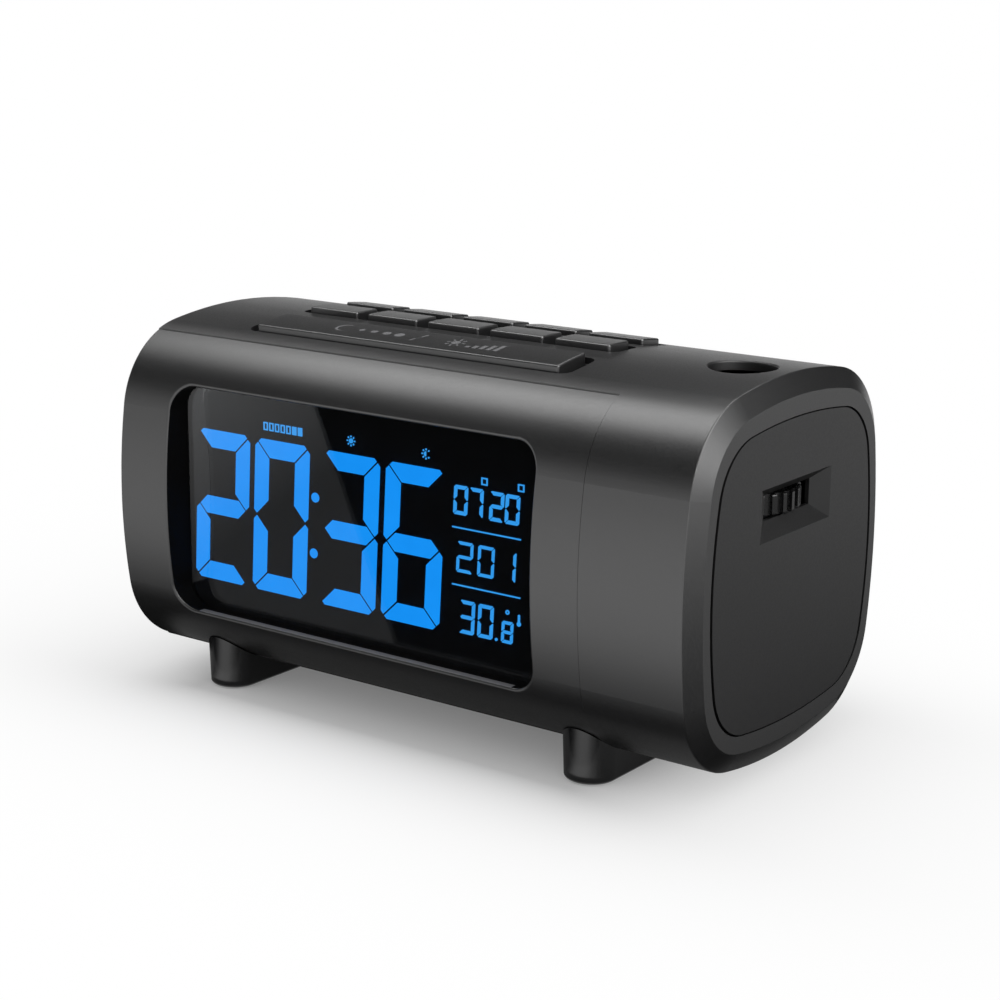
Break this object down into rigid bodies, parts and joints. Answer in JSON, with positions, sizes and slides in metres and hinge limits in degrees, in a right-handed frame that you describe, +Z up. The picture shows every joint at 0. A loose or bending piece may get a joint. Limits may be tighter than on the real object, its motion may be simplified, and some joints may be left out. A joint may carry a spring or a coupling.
{
  "type": "projection alarm clock",
  "caption": "Cushion-shaped bedside alarm clock with a recessed digital display, a keypad on top and a focusable ceiling projector at one end.",
  "frame": {"origin": "on the supporting surface, under the centre of the case", "axes": "+X runs along the case towards the projector, +Y to the back, +Z up"},
  "size_m": [0.1854, 0.0954, 0.1023],
  "materials": {
    "case_plastic": "charcoal moulded ABS with a fine satin texture",
    "cover_plastic": "charcoal moulded ABS, smoother satin than the shell",
    "panel_plastic": "flat matte charcoal ABS",
    "key_plastic": "soft matte dark grey ABS",
    "display_glass": "polished smoked acrylic",
    "display_black": "black display glass",
    "light_guide": "clear acrylic light guide",
    "lit_blue": "lit blue display bars",
    "inner_plastic": "black moulded plastic",
    "circuit_board": "green solder-masked glass-fibre board",
    "component_black": "black epoxy and nylon",
    "screw_steel": "zinc-plated steel",
    "ribbon_plastic": "pale flat ribbon cable",
    "lamp_body": "clear resin light-emitting diode",
    "lens_glass": "clear glass with a bluish coating",
    "slide_glass": "small dark display cell",
    "foot_plastic": "glossy black plastic",
    "pad_rubber": "soft black rubber",
    "speaker_steel": "pressed steel basket and magnet",
    "speaker_paper": "black paper cone",
    "socket_steel": "nickel-plated steel",
    "cell_steel": "stainless steel coin cell",
    "contact_brass": "sprung brass strip",
    "sensor_resin": "dipped resin bead",
    "barrel_plastic": "fine matte black plastic",
    "wheel_plastic": "ridged black ABS"
  },
  "bodies": {
    "case": {"main_shell": "case_plastic", "front_cover": "cover_plastic", "left_side_panel": "panel_plastic", "right_side_panel": "panel_plastic", "display_lens": "display_glass", "lcd_panel": "display_black", "light_guide": "light_guide", "display_tray": "inner_plastic", "display_screws": "screw_steel", "time_digits": "lit_blue", "date_digits": "lit_blue", "day_digits": "lit_blue", "temperature_digits": "lit_blue", "display_signs": "lit_blue", "main_board": "circuit_board", "main_board_screws": "screw_steel", "board_components": "component_black", "key_board": "circuit_board", "key_board_screws": "screw_steel", "key_switches": "component_black", "key_ribbon": "ribbon_plastic", "projector_board": "circuit_board", "projector_lamp": "lamp_body", "projector_housing": "inner_plastic", "projector_bridge": "inner_plastic", "projector_screws": "screw_steel", "condenser_lens": "lens_glass", "projector_slide": "slide_glass", "case_screws": "screw_steel", "left_foot": "foot_plastic", "right_foot": "foot_plastic", "left_foot_pad": "pad_rubber", "right_foot_pad": "pad_rubber", "speaker_basket": "speaker_steel", "speaker_cone": "speaker_paper", "connector_board": "circuit_board", "connector_board_screws": "screw_steel", "power_jack": "component_black", "usb_port": "socket_steel", "coin_cell": "cell_steel", "cell_contact": "contact_brass", "temperature_sensor": "sensor_resin"},
    "snooze_bar": {"snooze_bar": "key_plastic"},
    "front_button_1": {"front_button_1": "key_plastic"},
    "front_button_2": {"front_button_2": "key_plastic"},
    "front_button_3": {"front_button_3": "key_plastic"},
    "front_button_4": {"front_button_4": "key_plastic"},
    "front_button_5": {"front_button_5": "key_plastic"},
    "rear_button_1": {"rear_button_1": "key_plastic"},
    "rear_button_2": {"rear_button_2": "key_plastic"},
    "rear_button_3": {"rear_button_3": "key_plastic"},
    "rear_button_4": {"rear_button_4": "key_plastic"},
    "rear_button_5": {"rear_button_5": "key_plastic"},
    "lens_barrel": {"lens_barrel": "barrel_plastic", "projector_lens": "lens_glass", "rear_lens": "lens_glass"},
    "focus_wheel": {"focus_wheel": "wheel_plastic"},
    "cell_door": {"cell_door": "case_plastic"}
  },
  "joints": [
    {"name": "snooze_bar_press", "type": "slide", "parent": "case", "child": "snooze_bar", "axis": [0, 0, -1], "range_m": [0, 0.0008], "stiffness_N_per_m": 2000, "springref_m": -0.0003},
    {"name": "front_button_1_press", "type": "slide", "parent": "case", "child": "front_button_1", "axis": [0, 0, -1], "range_m": [0, 0.0008], "stiffness_N_per_m": 1500, "springref_m": -0.0003},
    {"name": "front_button_2_press", "type": "slide", "parent": "case", "child": "front_button_2", "axis": [0, 0, -1], "range_m": [0, 0.0008], "stiffness_N_per_m": 1500, "springref_m": -0.0003},
    {"name": "front_button_3_press", "type": "slide", "parent": "case", "child": "front_button_3", "axis": [0, 0, -1], "range_m": [0, 0.0008], "stiffness_N_per_m": 1500, "springref_m": -0.0003},
    {"name": "front_button_4_press", "type": "slide", "parent": "case", "child": "front_button_4", "axis": [0, 0, -1], "range_m": [0, 0.0008], "stiffness_N_per_m": 1500, "springref_m": -0.0003},
    {"name": "front_button_5_press", "type": "slide", "parent": "case", "child": "front_button_5", "axis": [0, 0, -1], "range_m": [0, 0.0008], "stiffness_N_per_m": 1500, "springref_m": -0.0003},
    {"name": "rear_button_1_press", "type": "slide", "parent": "case", "child": "rear_button_1", "axis": [0, 0, -1], "range_m": [0, 0.0008], "stiffness_N_per_m": 1500, "springref_m": -0.0003},
    {"name": "rear_button_2_press", "type": "slide", "parent": "case", "child": "rear_button_2", "axis": [0, 0, -1], "range_m": [0, 0.0008], "stiffness_N_per_m": 1500, "springref_m": -0.0003},
    {"name": "rear_button_3_press", "type": "slide", "parent": "case", "child": "rear_button_3", "axis": [0, 0, -1], "range_m": [0, 0.0008], "stiffness_N_per_m": 1500, "springref_m": -0.0003},
    {"name": "rear_button_4_press", "type": "slide", "parent": "case", "child": "rear_button_4", "axis": [0, 0, -1], "range_m": [0, 0.0008], "stiffness_N_per_m": 1500, "springref_m": -0.0003},
    {"name": "rear_button_5_press", "type": "slide", "parent": "case", "child": "rear_button_5", "axis": [0, 0, -1], "range_m": [0, 0.0008], "stiffness_N_per_m": 1500, "springref_m": -0.0003},
    {"name": "focus_wheel_turn", "type": "hinge", "parent": "case", "child": "focus_wheel", "pos_m": [0.0767, -0.0005, 0.0696], "axis": [0, 0, 1], "range_deg": [-180, 180]},
    {"name": "lens_barrel_slide", "type": "slide", "parent": "case", "child": "lens_barrel", "axis": [0, 0, 1], "range_m": [-0.00188, 0.00188]},
    {"name": "cell_door_lift", "type": "slide", "parent": "case", "child": "cell_door", "axis": [0, 1, 0], "range_m": [0, 0.025]}
  ],
  "couplings": [
    {"joint": "focus_wheel_turn", "follows": "lens_barrel_slide", "rad_per_m": 1666.7}
  ]
}
